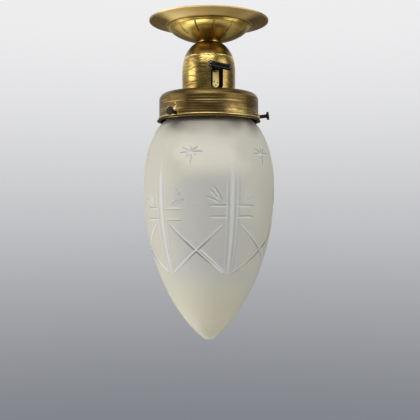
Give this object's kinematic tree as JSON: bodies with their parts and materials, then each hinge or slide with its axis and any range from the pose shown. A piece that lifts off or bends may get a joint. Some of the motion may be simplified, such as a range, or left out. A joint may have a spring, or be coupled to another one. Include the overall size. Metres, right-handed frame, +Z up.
{
  "type": "ceiling lamp",
  "caption": "Flush ceiling lamp: spun brass canopy, bell-shaped lampholder cover with a turning switch key, screw-on gallery and a closed teardrop shade of frosted cut glass.",
  "frame": {"origin": "on the ceiling plane, midway between the two ceiling screws of the bracket, on the lamp's axis", "axes": "+Z up into the ceiling, the lamp hangs along -Z; -Y is the front, +X the right-hand side seen from the front"},
  "size_m": [0.1168, 0.1168, 0.2857],
  "materials": {
    "spun_brass": "aged, turned, satin with brown patina",
    "bright_brass": "polished",
    "steel": "zinc plated",
    "blackened_steel": "blackened, slightly worn",
    "black_handle": "black, polished",
    "porcelain": "glazed white porcelain, opaque",
    "fibre": "dark red-brown vulcanised fibre",
    "black_glass": "black insulating glass, opaque",
    "wire_cover_red": "matt rubber",
    "wire_cover_black": "matt rubber",
    "frosted_glass": "frosted outside, with polished wheel cuts",
    "clear_glass": "clear"
  },
  "bodies": {
    "lamp": {"ceiling_bracket": "steel", "canopy": "spun_brass", "nipple": "bright_brass", "bracket_nuts": "steel", "terminal_block": "porcelain", "terminal_screws": "bright_brass", "block_screw": "steel", "lead_live": "wire_cover_red", "lead_neutral": "wire_cover_black", "neck_collar": "bright_brass", "bell_cover": "spun_brass", "socket_cap": "bright_brass", "socket_shell": "bright_brass", "fibre_liner": "fibre", "switch_body": "porcelain", "contact_springs": "bright_brass", "holder_terminals": "bright_brass", "key_bracket": "bright_brass", "bracket_rivets": "blackened_steel", "centre_contact": "bright_brass", "screw_shell": "bright_brass", "insulating_ring": "porcelain", "gallery": "spun_brass", "screw_bosses": "spun_brass", "shade_ring": "bright_brass", "glass_shade": "frosted_glass", "bulb_cap": "steel", "bulb_insulator": "black_glass", "bulb_contact": "steel", "bulb_glass": "clear_glass", "bulb_stem": "clear_glass", "bulb_filament": "steel"},
    "key": {"key_shaft": "blackened_steel", "key_handle": "black_handle", "switch_rotor": "porcelain"},
    "thumb_screw_right": {"thumb_screw_right": "blackened_steel"},
    "thumb_screw_rear": {"thumb_screw_rear": "blackened_steel"},
    "thumb_screw_left": {"thumb_screw_left": "blackened_steel"}
  },
  "joints": [
    {"name": "key_turn", "type": "hinge", "parent": "lamp", "child": "key", "pos_m": [0.00973, -0.02996, -0.04567], "axis": [0.309, -0.9511, 0], "continuous": true},
    {"name": "thumb_screw_right_slide", "type": "slide", "parent": "lamp", "child": "thumb_screw_right", "axis": [0.9848, -0.1384, 0.1045], "range_m": [0, 0.005]},
    {"name": "thumb_screw_rear_slide", "type": "slide", "parent": "lamp", "child": "thumb_screw_rear", "axis": [-0.3726, 0.9221, 0.1045], "range_m": [0, 0.005]},
    {"name": "thumb_screw_left_slide", "type": "slide", "parent": "lamp", "child": "thumb_screw_left", "axis": [-0.6123, -0.7837, 0.1045], "range_m": [0, 0.005]}
  ]
}
